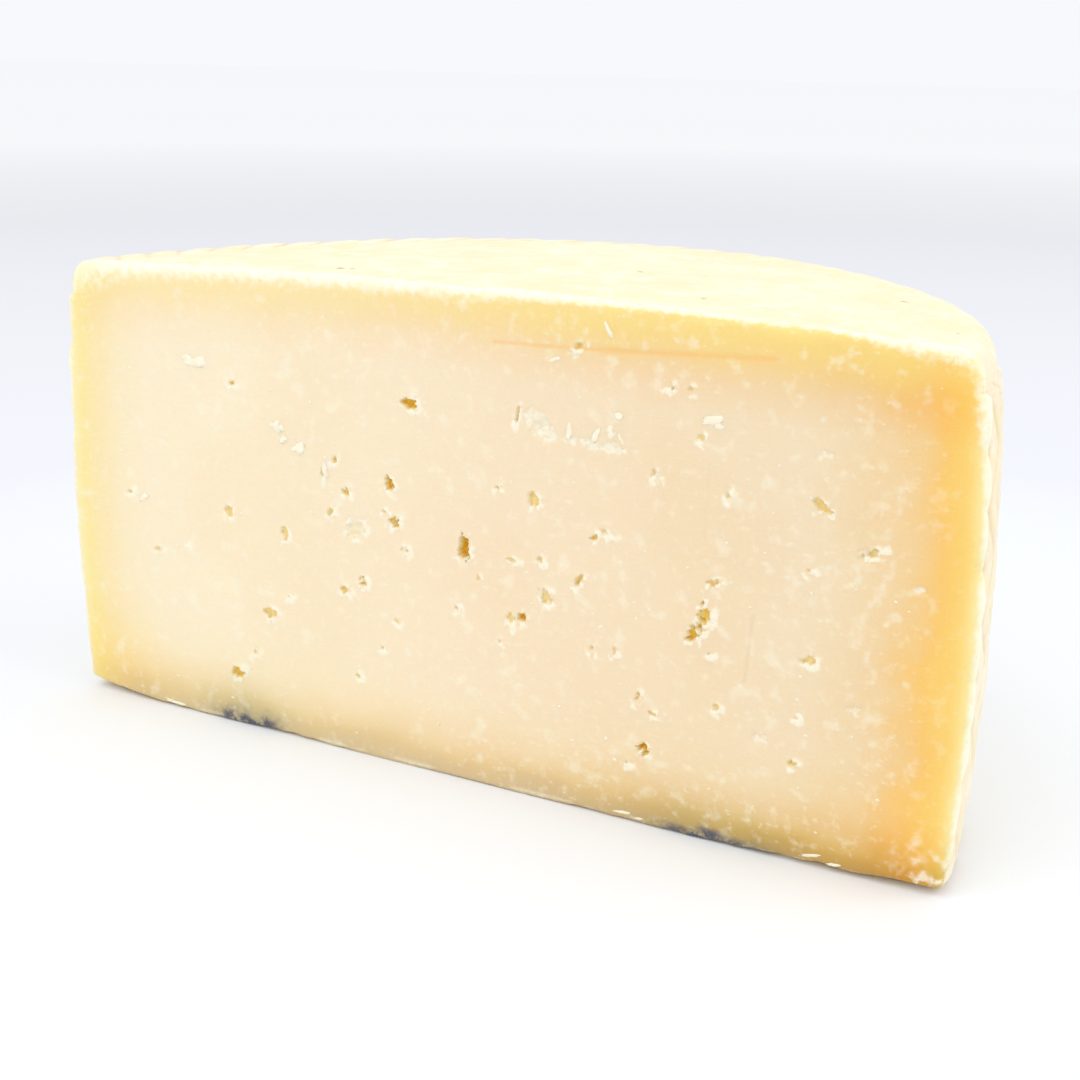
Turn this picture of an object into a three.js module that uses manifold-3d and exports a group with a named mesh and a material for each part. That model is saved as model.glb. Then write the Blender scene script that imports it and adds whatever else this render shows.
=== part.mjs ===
// Half a wheel of manchego cheese, cut straight down through the middle and standing on its base.
// Units are millimetres and +Z is up. The cut face looks towards -Y and runs along X.
//
// The wheel is turned on a lathe: a slightly domed top, a worn shoulder, a bellied side and a flat
// base. The side keeps the herringbone print of the plaited grass band that the curd was pressed
// in. A knife cut then removes one half, and the eyes of the paste are hollowed out of the cut.

import * as THREE from "three";
import { mergeVertices } from "three/addons/utils/BufferGeometryUtils.js";
import Module from "manifold-3d";

const wasm = await Module();
wasm.setup();

// The wheel.
const WHEEL_HEIGHT = 100.5;
const BELLY_RADIUS = 100; // halfway up the side, over the ridges of the print
const TOP_RADIUS = 96.5; // where the side would meet the top if the shoulder were sharp
const BASE_RADIUS = 98.5;
const TOP_DOME = 2.4; // how much higher the top's middle is than its edge
const HEEL = { width: 2.5, height: 3.5 }; // the rounded edge at the base
const SHOULDER = { width: 5, height: 7 }; // the rounded edge at the top

// The print of the plaited band: zigzag strands up the side, which end on the top near its edge.
const PLAIT_BANDS = 9;
const PLAIT_STRANDS = 64; // round the whole wheel
const PLAIT_DEPTH = 0.9;
const PLAIT_SLOPE = 0.95; // how far a strand runs sideways for each unit of length
const PLAIT_START = 0.06; // how far round from +X the first strand's ridge is, in radians
const PLAIT_ON_TOP = 15; // how far in over the top the strands fade out
const PLAIT_ON_SHOULDER = 0.5; // the print's depth where the shoulder meets the top
const STRAND_SECTION = [0, 0.15, 1, 0.15]; // depth across a strand, from ridge to groove and back

// How the lathe's rings are spaced: shares of the flat radius, and steps round each corner.
const BASE_RING_SHARES = [0, 0.5, 1];
const TOP_RING_SHARES = [0.55, 0.3, 0];
const HEEL_STEPS = 3;
const SHOULDER_STEPS = 4;
const COLUMNS = STRAND_SECTION.length * PLAIT_STRANDS;

// Hand-pressed wheels are a little out of round. Each wave is zero at the two ends of the cut.
const OUT_OF_ROUND = [
  { waves: 2, reach: 0.35 },
  { waves: 3, reach: -0.4 },
  { waves: 7, reach: 0.2 },
];
const TOP_HOLLOW = { waves: 3, reach: 0.35 }; // uneven height of the top, growing outwards

// Eyes in the cut: place and size on the face, how deep they go, and how far their long axis leans.
// x is measured from the wheel's axis and z from its base.
const EYES = [
  { x: 0.5, z: 49.5, width: 3, height: 5.5, depth: 4.5, lean: 0 },
  { x: 51, z: 44.5, width: 2.5, height: 4, depth: 3.5, lean: -15 },
  { x: 48.5, z: 41.5, width: 2.5, height: 3.5, depth: 3.5, lean: -25 },
  { x: -11.5, z: 77.5, width: 3.5, height: 1.5, depth: 3, lean: -10 },
  { x: -16.5, z: 60, width: 2, height: 3, depth: 3, lean: 20 },
  { x: -15.5, z: 52.5, width: 2.5, height: 2, depth: 2, lean: 0 },
  { x: -26.5, z: 57, width: 1.5, height: 1.5, depth: 2, lean: 0 },
  { x: -30.5, z: 52.5, width: 1.5, height: 1.5, depth: 1.5, lean: 0 },
  { x: -56.5, z: 48.5, width: 2, height: 2.5, depth: 1.5, lean: 0 },
  { x: -42, z: 45.5, width: 1.5, height: 3, depth: 1.5, lean: 10 },
  { x: -24.5, z: 49.5, width: 4.5, height: 3, depth: 1, lean: 30 },
  { x: -23, z: 39, width: 1.5, height: 2, depth: 1.5, lean: 0 },
  { x: -27.5, z: 36, width: 2.5, height: 1.5, depth: 1.5, lean: 0 },
  { x: -46.5, z: 27.5, width: 3, height: 2.5, depth: 1.5, lean: 0 },
  { x: -56, z: 12, width: 3.5, height: 2.5, depth: 2.5, lean: 25 },
  { x: -25, z: 17.5, width: 1.5, height: 1.5, depth: 1.5, lean: 0 },
  { x: 13, z: 37.5, width: 1.5, height: 1.5, depth: 2.5, lean: 0 },
  { x: 11, z: 36.5, width: 1.5, height: 2.5, depth: 1.5, lean: 0 },
  { x: 15.5, z: 61.5, width: 2, height: 3, depth: 1.5, lean: 20 },
  { x: 18.5, z: 43, width: 2.5, height: 3.5, depth: 1.5, lean: -20 },
  { x: 25.5, z: 47, width: 1.5, height: 3, depth: 2, lean: 25 },
  { x: 28.5, z: 57, width: 4, height: 1.5, depth: 1.5, lean: -15 },
  { x: 24, z: 91.5, width: 2.5, height: 1.5, depth: 1.5, lean: -20 },
  { x: 42, z: 86.5, width: 1.5, height: 1.5, depth: 1.5, lean: 0 },
  { x: 40, z: 70, width: 1.5, height: 1.5, depth: 1.5, lean: 0 },
  { x: 71, z: 69, width: 3, height: 2, depth: 1.5, lean: 0 },
  { x: 80.5, z: 61.5, width: 3.5, height: 2, depth: 1.5, lean: -15 },
  { x: 52, z: 51.5, width: 2.5, height: 1.5, depth: 1.5, lean: 0 },
  { x: 40, z: 16, width: 3, height: 2.5, depth: 3, lean: 30 },
  { x: 69, z: 19.5, width: 2, height: 1.5, depth: 1.5, lean: 0 },
];
const EYE_LUMPINESS = 0.14; // share of an eye's size by which its wall wanders

const paste = new THREE.MeshStandardMaterial({
  color: new THREE.Color().setRGB(0.97, 0.89, 0.72, THREE.SRGBColorSpace),
  roughness: 0.55,
  metalness: 0,
});

// The side's radius at a height: a shallow arc through the base, belly and top radii.
function sideRadius(height) {
  const share = height / WHEEL_HEIGHT;
  const straight = THREE.MathUtils.lerp(BASE_RADIUS, TOP_RADIUS, share);
  const bulge = BELLY_RADIUS - (BASE_RADIUS + TOP_RADIUS) / 2;
  return straight + 4 * bulge * share * (1 - share);
}

function topHeight(radius) {
  return WHEEL_HEIGHT - TOP_DOME * (radius / TOP_RADIUS) ** 2;
}

// Rings of the wheel from the middle of the base, up the side, to the middle of the top. Each ring
// has its radius and height, how deep the print is there, and how far the strands have turned.
function wheelRings() {
  const rings = [];
  const addRing = (radius, height, print, turn) => rings.push({ radius, height, print, turn });

  const baseFlat = sideRadius(HEEL.height) - HEEL.width;
  const topFlat = TOP_RADIUS - SHOULDER.width;
  const shoulderFoot = topHeight(topFlat) - SHOULDER.height;
  const bandHeight = (shoulderFoot - HEEL.height) / PLAIT_BANDS;

  // The strands lean one way in one band and back in the next, so every other turning point has
  // the same turn. The shoulder's foot is one that has none.
  const turnAfter = (length) => (PLAIT_SLOPE * length) / BELLY_RADIUS;
  const bandTurn = (band) => ((PLAIT_BANDS - band) % 2) * turnAfter(bandHeight);

  for (const share of BASE_RING_SHARES) {
    addRing(share * baseFlat, 0, 0, bandTurn(0));
  }
  for (let step = 1; step < HEEL_STEPS; step++) {
    const angle = (step / HEEL_STEPS) * (Math.PI / 2);
    const radius = baseFlat + HEEL.width * Math.sin(angle);
    addRing(radius, HEEL.height * (1 - Math.cos(angle)), 0, bandTurn(0));
  }
  for (let band = 0; band <= PLAIT_BANDS; band++) {
    const height = HEEL.height + band * bandHeight;
    addRing(sideRadius(height), height, 1, bandTurn(band));
  }

  const shoulderLength = ((SHOULDER.width + SHOULDER.height) / 2) * (Math.PI / 2);
  for (let step = 1; step <= SHOULDER_STEPS; step++) {
    const share = step / SHOULDER_STEPS;
    const angle = share * (Math.PI / 2);
    const radius = topFlat + SHOULDER.width * Math.cos(angle);
    const height = shoulderFoot + SHOULDER.height * Math.sin(angle);
    const print = 1 - share * (1 - PLAIT_ON_SHOULDER);
    addRing(radius, height, print, turnAfter(share * shoulderLength));
  }
  const strandEnd = topFlat - PLAIT_ON_TOP;
  const endTurn = turnAfter(shoulderLength + PLAIT_ON_TOP);
  addRing(strandEnd, topHeight(strandEnd), 0, endTurn);
  for (const share of TOP_RING_SHARES) {
    addRing(share * topFlat, topHeight(share * topFlat), 0, endTurn);
  }
  return rings;
}

// A vertex of the whole wheel. The print is pressed in towards the axis, and down on the top.
function wheelVertex(ring, column) {
  const angle = (column / COLUMNS) * 2 * Math.PI + PLAIT_START + ring.turn;
  const groove = ring.print * PLAIT_DEPTH * STRAND_SECTION[column % STRAND_SECTION.length];
  const share = ring.radius / BELLY_RADIUS;
  let unevenness = 0;
  for (const { waves, reach } of OUT_OF_ROUND) {
    unevenness += reach * Math.sin(waves * angle);
  }
  const radius = ring.radius - groove + unevenness * share;
  const upperShare = ring.height / WHEEL_HEIGHT;
  const hollow = TOP_HOLLOW.reach * Math.sin(TOP_HOLLOW.waves * angle) * share * upperShare;
  const sunk = ring.radius < TOP_RADIUS - SHOULDER.width / 2 ? groove : 0;
  return new THREE.Vector3(
    radius * Math.cos(angle),
    radius * Math.sin(angle),
    ring.height - hollow - sunk,
  );
}

// A lathe gives the faces between the rings, and its vertices are then moved onto the wheel.
function wheelGeometry() {
  const rings = wheelRings();
  const profile = rings.map((ring) => new THREE.Vector2(ring.radius, ring.height));
  const geometry = new THREE.LatheGeometry(profile, COLUMNS);
  const position = geometry.getAttribute("position");
  for (let column = 0; column <= COLUMNS; column++) {
    for (let row = 0; row < rings.length; row++) {
      const vertex = wheelVertex(rings[row], column % COLUMNS);
      position.setXYZ(column * rings.length + row, vertex.x, vertex.y, vertex.z);
    }
  }
  return geometry;
}

// Everything on the -Y side of the wheel's axis, which the knife takes away.
function knifeGeometry() {
  const reach = 3 * BELLY_RADIUS;
  return new THREE.BoxGeometry(reach, reach, reach).translate(0, -reach / 2, 0);
}

// An eye: a lumpy ellipsoid centred on the cut. Its number varies its lumps.
function eyeGeometry(eye, number) {
  const geometry = new THREE.IcosahedronGeometry(1, 1);
  const position = geometry.getAttribute("position");
  const vertex = new THREE.Vector3();
  for (let i = 0; i < position.count; i++) {
    vertex.fromBufferAttribute(position, i);
    const lumps =
      Math.sin(3.1 * vertex.x + number) +
      Math.sin(2.7 * vertex.z - 2 * number) +
      Math.sin(2.3 * vertex.y + 3 * number);
    vertex.multiplyScalar(1 + EYE_LUMPINESS * lumps);
    position.setXYZ(i, vertex.x, vertex.y, vertex.z);
  }
  return geometry
    .scale(eye.width / 2, eye.depth, eye.height / 2)
    .rotateY(THREE.MathUtils.degToRad(eye.lean))
    .translate(eye.x, 0, eye.z);
}

function solidFrom(geometry) {
  geometry.deleteAttribute("normal");
  geometry.deleteAttribute("uv");
  const merged = mergeVertices(geometry);
  return new wasm.Manifold(
    new wasm.Mesh({
      numProp: 3,
      vertProperties: merged.getAttribute("position").array,
      triVerts: new Uint32Array(merged.index.array),
    }),
  );
}

function geometryFrom(solid) {
  const mesh = solid.getMesh();
  const geometry = new THREE.BufferGeometry();
  geometry.setAttribute("position", new THREE.BufferAttribute(mesh.vertProperties, 3));
  geometry.setIndex(new THREE.BufferAttribute(mesh.triVerts, 1));
  return geometry;
}

function makeCheese() {
  let cheese = solidFrom(wheelGeometry()).subtract(solidFrom(knifeGeometry()));
  EYES.forEach((eye, number) => {
    cheese = cheese.subtract(solidFrom(eyeGeometry(eye, number)));
  });

  // The origin is in the middle of the footprint, on the base.
  const geometry = geometryFrom(cheese);
  geometry.computeBoundingBox();
  const { min, max } = geometry.boundingBox;
  geometry.translate(-(min.x + max.x) / 2, -(min.y + max.y) / 2, -min.z);
  geometry.computeVertexNormals();

  const mesh = new THREE.Mesh(geometry, paste);
  mesh.name = "cheese";
  return mesh;
}

const part = new THREE.Group();
part.add(makeCheese());

export default part;
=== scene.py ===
# Half a wheel of manchego cheese, standing on its base with the cut towards the camera.
#
# Lengths are millimetres in the wheel's own frame: its axis is x = 0, y = 0, its base is z = 0 and
# the knife cut along y = 0. mesh_object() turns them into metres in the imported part's frame.
# Colours are written as they show in a photograph, from 0 to 255, and colour() makes them linear.

import itertools
import math

import bmesh
import bpy
import numpy as np
from mathutils import Matrix, Vector, kdtree
from mathutils.geometry import delaunay_2d_cdt


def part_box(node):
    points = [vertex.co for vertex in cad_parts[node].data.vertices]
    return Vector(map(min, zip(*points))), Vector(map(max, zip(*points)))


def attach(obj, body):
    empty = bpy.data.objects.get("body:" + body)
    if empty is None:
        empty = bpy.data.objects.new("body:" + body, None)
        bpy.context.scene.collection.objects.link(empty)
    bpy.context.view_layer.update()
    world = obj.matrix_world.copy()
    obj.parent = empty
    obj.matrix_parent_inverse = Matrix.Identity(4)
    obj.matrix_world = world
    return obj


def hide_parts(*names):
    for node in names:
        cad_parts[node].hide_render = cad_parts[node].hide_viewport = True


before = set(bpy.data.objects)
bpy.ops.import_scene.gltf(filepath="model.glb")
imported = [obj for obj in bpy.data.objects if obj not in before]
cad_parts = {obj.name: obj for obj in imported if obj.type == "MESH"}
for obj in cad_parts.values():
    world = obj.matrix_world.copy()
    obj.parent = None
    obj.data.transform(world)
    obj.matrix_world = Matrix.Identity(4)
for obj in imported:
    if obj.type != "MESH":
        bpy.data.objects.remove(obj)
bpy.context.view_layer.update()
LOW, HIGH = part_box("cheese")

MM = 0.001
SEED = 27

# The wheel, as in the part.
WHEEL_HEIGHT = (HIGH.z - LOW.z) / MM
BELLY_RADIUS = 100
TOP_RADIUS = 96.5
BASE_RADIUS = 98.5
TOP_DOME = 2.4
HEEL_WIDTH, HEEL_HEIGHT = 2.5, 3.5
SHOULDER_WIDTH, SHOULDER_HEIGHT = 5, 7
OUT_OF_ROUND = ((2, 0.35), (3, -0.4), (7, 0.2))  # waves round the wheel, and their reach
TOP_HOLLOW_WAVES, TOP_HOLLOW = 3, 0.35
BASE_HOLLOW, BASE_HOLLOW_RIM = 0.12, 8

# The herringbone print of the plaited band, as in the part.
PLAIT_BANDS = 9
PLAIT_STRANDS = 64
PLAIT_DEPTH = 0.9
PLAIT_SLOPE = 0.95
PLAIT_START = 0.06
PLAIT_ON_TOP = 15
PLAIT_ON_SHOULDER = 0.5
STRAND_ROUNDNESS = 0.94
BAND_SEAM_DEPTH, BAND_SEAM_WIDTH = 0.3, 0.8
PLAIT_WEAR = 0.4  # share of the print that is worn away in places
CUT_WEAR, CUT_WEAR_REACH = 0.35, 6  # share of it that is worn away beside the cut
TOP_WEAR, TOP_WEAR_X = 0.7, 50  # share of it that is worn away on the top at the right, and where

# The mesh.
COLUMNS = 286  # round the half wheel
HEEL_ROWS, SHOULDER_ROWS = 6, 11
SIDE_SPACING, RIM_SPACING, TOP_SPACING, BASE_SPACING = 0.85, 1.19, 1.5, 2.6
CUT_LINE_SPACING = 0.75
FINE_SPACING = 0.29
COARSENESS = 3
ROW_SHARE = math.sqrt(3) / 2
BORDER_RINGS = (0.15, 0.4, 0.8, 1.3)  # how far inside the cut's outline its rings of points are
JITTER = 0.17  # as a share of the spacing
ARC_MARGIN, LINE_MARGIN = 0.6, 0.5  # round the inner points of the top and base, in spacings
CUT_MARGIN_X, CUT_MARGIN_Z = 1.6, 1  # round the inner points of the cut
RING_MARGIN = 0.6  # a ring drops its points nearer to the outline than this share of its distance

# Unevenness in layers of noise: how high, how large the lumps are, and a seed.
RIND_LUMPS = ((0.16, 9, 1), (0.09, 3.5, 2), (0.05, 1.6, 3))
FOOT_LUMPS = ((0.22, 2.6, 7), (0.2, 9, 8))
CROWN_LUMPS = ((0.25, 3.2, 9), (0.2, 1.3, 10))
CUT_LUMPS = ((0.3, 45, 11), (0.07, 9, 12), (0.03, 2.2, 13))
KNIFE_LINES, KNIFE_LINE_LENGTH = ((0.025, 0.9, 14),), 7
EYE_FLOOR_LUMPS = ((0.3, 0.8, 15),)
TEAR_LUMPS = ((1, 0.6, 16), (0.6, 1.1, 17))
CORNER_LUMPS = ((1, 1.1, 21), (0.5, 0.6, 22))

# The cut's edge.
EDGE_ROUND, EDGE_UNEVENNESS = 1.6, 0.4
EDGE_REACH = 4
FOOT_SHARPNESS = 0.85  # share of the rounding that the foot's edge lacks
FOOT_SHARP_HEIGHT = 8
FOOT_LIFT = 0.1  # of its edge, before wear and lumps
# How far the foot's edge is worn up at each x; below 0 even its lumps stay on the floor.
FOOT_WEAR = (
    (-97, 2.4), (-93, 1.8), (-88, 1), (-80, 0.4), (-60, 0.1), (-42, 0.5), (-28, 0), (-20, -0.3),
    (18, -0.3), (30, 0), (50, 0), (62, 0.5), (82, 1.2), (90, 1.9), (97, 1.8),
)

# Where the cut is as pale as the rind: how far in from the top at each x, from the left, and from
# the right at each z.
PALE_FROM_TOP = (
    (-100, 5), (-90, 3), (-80, 2), (-50, 1.6), (0, 1.5), (14, 0.9), (32, 0.5), (72, 0.4), (90, 1.6),
)
PALE_FROM_LEFT = 0.9
PALE_FROM_RIGHT = ((74, 0.5), (84, 0.95), (92, 1.5))

# Hollows in the cut: x, z, width, height, depth, and the lean of the long axis in degrees.
EYES = (
    (0.4, 49.4, 3, 5.4, 2.4, 3), (51.2, 44.9, 2.4, 3.2, 1.1, -15), (49, 41.2, 2.8, 3, 1.2, -35),
    (50.2, 42.9, 1.5, 2, 0.6, -35), (50.6, 47.4, 0.7, 1.6, 0.8, -25),
    (-11.7, 77.1, 4.4, 2.1, 1.5, -15), (-16.5, 60, 2, 3, 1.5, 20), (-15.6, 52.4, 2.3, 2.1, 1, 0),
    (-17.9, 54.3, 0.8, 0.5, 0.4, -20), (-26.4, 57.2, 1.5, 1.5, 1, 0),
    (-29.4, 63.5, 0.8, 1.1, 0.8, -20), (-30.5, 52.4, 1.7, 1.7, 0.6, 0),
    (-54.4, 76.2, 1.6, 0.9, 0.8, 0), (-56.5, 48.6, 2, 2.4, 0.6, -10), (-42, 45.5, 1.5, 3, 0.6, 5),
    (-24.5, 49.5, 4.4, 2.8, 0.25, 30), (-32.3, 60.2, 1.1, 2.6, 0.4, 10),
    (-76.5, 37, 2, 0.9, 0.5, 0), (-68.2, 39.3, 0.9, 0.7, 0.4, 0), (-83, 49, 1.5, 1, 0.4, 20),
    (-12.6, 46.8, 0.8, 1, 0.6, 0), (-13.8, 47.1, 0.5, 0.9, 0.4, 0),
    (-23, 38.9, 1.5, 1.8, 0.8, 10), (-27.6, 36, 2.4, 1.3, 0.8, -25),
    (-41.6, 32.1, 0.9, 0.7, 0.4, 0), (-46.7, 27.5, 2.8, 2.2, 0.7, -10),
    (-56, 12, 3.4, 2.4, 1.2, 25), (-51.1, 17.8, 1.4, 1.8, 0.5, -25),
    (-24.9, 17.7, 1.4, 1.2, 0.8, 0), (-18.6, 24.9, 0.7, 0.8, 0.5, 0),
    (13.2, 37.6, 1.6, 1.5, 1.4, 0), (10.9, 36.8, 1.4, 2.4, 0.6, 5),
    (-1.1, 36.7, 0.9, 1.2, 0.6, 20), (15.6, 61.6, 1.9, 2.8, 0.7, 25),
    (12, 77.9, 0.6, 3.2, 0.6, -8), (10.9, 48.9, 2, 0.8, 0.5, -5), (17.2, 50, 1.5, 1, 0.6, -25),
    (7.7, 62.8, 0.7, 0.9, 0.5, 0), (3.6, 43.8, 0.6, 1.3, 0.5, 0), (8.6, 31.8, 1.2, 0.6, 0.5, -30),
    (-15.2, 31.5, 1.1, 0.7, 0.4, -30), (24.2, 91.7, 1.8, 0.8, 0.7, 25),
    (42.2, 86.4, 1.3, 1, 0.6, 0), (46.2, 86.4, 0.8, 0.8, 0.4, 0), (48.7, 77.9, 1, 1.2, 0.5, 0),
    (40, 69.9, 1.5, 1.5, 0.7, 0), (54.3, 68.4, 0.9, 1.5, 0.4, 0),
    (71.2, 68.8, 2.8, 1.6, 0.7, -25), (28.4, 56.6, 1.8, 1.4, 0.8, 30),
    (31, 57.6, 1.9, 1.1, 0.7, -20), (18.5, 43, 2.4, 3.3, 0.6, 15),
    (25.4, 47.2, 1.2, 2.9, 0.8, -25), (80.5, 61.6, 3.2, 1.4, 0.6, 20),
    (69.9, 56.8, 0.9, 0.7, 0.4, 0), (52, 51.6, 2.2, 1.5, 0.7, 10), (71.1, 40.1, 1.7, 1.4, 0.6, 0),
    (52.5, 37.8, 1.1, 0.6, 0.5, -25), (28.7, 34.2, 1, 1.7, 0.5, -10),
    (33.3, 34.5, 0.8, 1.7, 0.5, 0), (38.4, 26.2, 0.9, 2, 0.6, -15),
    (41.6, 23.6, 1.5, 0.8, 0.5, 0), (54.2, 27.4, 1, 1.4, 0.5, 20), (40, 16.1, 2.7, 2.1, 1.5, -35),
    (36.6, 12.3, 1, 0.9, 0.5, 0), (69.2, 19.5, 1.6, 1.2, 0.7, 0), (69.3, 28.9, 1.2, 0.8, 0.4, 0),
)
HOLLOW_RAGGED, RAGGED_SHARE = 0.6, 0.75  # at most, and as a share of a hollow's half width
EYE_WALL = 0.35  # how wide the steep wall round an eye's floor is, at most
LIP_HEIGHT, LIP_WIDTH = 0.16, 0.9
LIP_WAY = (0.75, -0.66)  # the knife dragged torn paste this way over the eyes' rims
NEAR_EYE, NEAR_TEAR = 2.4, 1  # how far round one its relief can reach
FINE_MARGIN = 0.9  # how far round an eye the mesh is fine
DEEP_EYE = 1.6  # an eye so deep is golden
EYE_SEED, TEAR_SEED, FLAKE_SEED = 100, 300, 1000

# Shallow tears with a rough pale floor, written as the eyes are.
TEARS = (
    (15.6, 77.3, 6.4, 4.6, 0.25, -25), (17.6, 75, 6.6, 4.6, 0.25, -15),
    (28.5, 73.9, 15, 2.4, 0.12, -2), (80.5, 61.6, 5.5, 2.6, 0.3, 15),
    (88.9, 56.8, 3.4, 1.4, 0.3, 0), (63, 23.4, 3, 2.4, 0.3, 0), (79.5, 32.5, 3, 2, 0.25, -20),
    (-24.6, 49.8, 6, 4, 0.2, 30), (71, 77.5, 4, 2, 0.2, 15), (23.2, 89.9, 3.4, 1.6, 0.15, 12),
)
TEAR_ROUGHNESS, CORNER_ROUGHNESS = 0.22, 0.2
TORN_SHARE = 0.45  # how pale a tear and the foot are, against an eye's torn rim

# The crumbly corner at the right of the foot: its middle and reach in x and in z.
CRUMBLY_X, CRUMBLY_Z = (96.5, 8.5), (4, 11)
FOOT_SMEAR = 0.9, 0.6  # how far up the cut the pale smear along its foot is, and its reach

# Marks that the knife left: x and z of both ends, width and depth.
MARKS = (
    (50.6, 73.2, 50.5, 58.4, 1.2, 0.13), (54, 71, 53.6, 60, 0.9, 0.09),
    (60, 72.7, 60.2, 59.9, 1, 0.11), (60.4, 46.5, 59.4, 33.5, 1.3, 0.28),
    (-44, 40.2, -38.6, 38.4, 0.5, 0.06), (-38.6, 38.4, -31, 38.9, 0.5, 0.06),
    (-45, 37.6, -38, 36.4, 0.5, 0.05), (7, 90.8, 28.6, 91.5, 1.1, 0.05),
    (28.6, 91.5, 62, 93.3, 1.7, 0.08),
)
CREASE_MARKS = 2  # the last ones run along the edge of the rind, and have taken its colour
MARK_REACH, NEAR_MARK = 0.7, 1.3  # how far it fades out, and its mesh is fine, in half widths

# Flakes of paste that stick to the cut: x, z, width, height, and lean in degrees.
FLAKES = (
    (-64, 79.9, 5.8, 2.3, 3), (-43.2, 68.4, 3.6, 3.2, 20), (-41.9, 66, 2, 1.6, 0),
    (-38, 64.8, 3.8, 2.4, 35), (-31.6, 61, 1.3, 3, 15), (-26, 51, 2.6, 1, 35),
    (50.6, 81.4, 3.8, 1.6, 5), (52, 80.4, 1.8, 1.2, 10), (22.7, 75.8, 1.1, 3.2, -14),
    (25.3, 74.6, 1.1, 2.4, -20), (28.2, 75.8, 1.1, 3.4, -24), (31.2, 76.8, 2.2, 2.4, -20),
    (33.3, 75.6, 0.9, 2.4, 14), (32.6, 80, 2, 1.4, 15), (19.7, 88.9, 2.2, 0.7, 30),
    (30.1, 95.4, 0.8, 3.4, 35), (-79.1, 48.2, 3.6, 1.8, 30), (36.2, 1.6, 3.6, 0.7, 6),
    (39.6, 1.1, 2.6, 0.6, 8), (74.4, 2.4, 4.6, 0.8, 8), (78.6, 1.7, 3, 0.7, 8),
    (-74, 1.2, 5, 0.6, -4),
)
FLAKE_THICKNESS = 0.35  # as a share of its width or height
FLAKE_SUNK = 0.2  # how far its middle is behind the cut, in thicknesses
RANDOM_FLAKES = 100
RANDOM_X, RANDOM_Z = 90, (4, 88)  # as far as this to either side, and from here over this height
RANDOM_CROWDING = 1.25, 1.15  # towards the right and the foot; 1 is even
RANDOM_WIDTHS, RANDOM_SHAPES, RANDOM_LEAN = (0.3, 1), (0.4, 0.9), 40

# Blue-grey mould on the foot of the cut: x, half length, height, and strength.
MOULDS = ((-53.6, 8.3, 3, 1), (53.5, 9.5, 2.5, 0.9), (62, 5, 1.4, 0.8))

# Brown specks on the top: x, y and radius.
RIND_SPECKS = (
    (-33.9, 10.2, 0.9), (-31.5, 10.9, 0.5), (18.4, 40.2, 0.6), (41.7, 15.7, 0.5),
    (72.1, 41.4, 0.9), (88.7, 12.3, 0.35),
)
WARP_MIDDLE = 0.5  # what the noise that makes them ragged comes to on average

# The camera, from the photograph.
LENS, SENSOR_WIDTH = 52.1, 36
CAMERA_PLACE = (145.0, -251.1, 144.2)
CAMERA_YAW, CAMERA_PITCH, CAMERA_ROLL = 26.98, 17.75, 0.98

ALBEDO_OF_WHITE = 0.94  # what white reflects
STUDIO_SHADE = (0.94, 0.945, 0.97, 1)
FLOOR_REACH = 6000


# Numbers.


def lattice_noise(points, cell, seed):
    """Smooth noise from -1 to 1 at each point, with lumps about one cell across."""
    table = np.random.default_rng(SEED + seed).uniform(-1, 1, 4096)
    primes = np.array((73856093, 19349663, 83492791))
    scaled = np.asarray(points, float) / cell
    corner = np.floor(scaled).astype(np.int64)
    share = scaled - corner
    share = share * share * (3 - 2 * share)
    total = np.zeros(len(scaled))
    for step in itertools.product((0, 1), repeat=scaled.shape[1]):
        hashed = np.bitwise_xor.reduce((corner + step) * primes[: len(step)], axis=1)
        weight = np.prod(np.where(step, share, 1 - share), axis=1)
        total += weight * table[hashed % len(table)]
    return total


def lumps(points, layers):
    """The sum of the layers of noise at each point."""
    return sum(height * lattice_noise(points, cell, seed) for height, cell, seed in layers)


def smooth_step(value, low, high):
    """0 below low, 1 above high and a smooth rise between them; low may be the higher one."""
    share = np.clip((value - low) / (high - low), 0, 1)
    return share * share * (3 - 2 * share)


def hill(value, middle, width):
    return np.exp(-(((value - middle) / width) ** 2))


# The wheel's form.


def side_radius(height):
    share = height / WHEEL_HEIGHT
    straight = BASE_RADIUS + (TOP_RADIUS - BASE_RADIUS) * share
    bulge = BELLY_RADIUS - (BASE_RADIUS + TOP_RADIUS) / 2
    return straight + 4 * bulge * share * (1 - share)


def top_height(radius):
    return WHEEL_HEIGHT - TOP_DOME * (radius / TOP_RADIUS) ** 2


BASE_FLAT = side_radius(HEEL_HEIGHT) - HEEL_WIDTH
TOP_FLAT = TOP_RADIUS - SHOULDER_WIDTH
SHOULDER_FOOT = top_height(TOP_FLAT) - SHOULDER_HEIGHT
BAND_HEIGHT = (SHOULDER_FOOT - HEEL_HEIGHT) / PLAIT_BANDS
SHOULDER_LENGTH = (SHOULDER_WIDTH + SHOULDER_HEIGHT) / 2 * math.pi / 2


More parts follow.
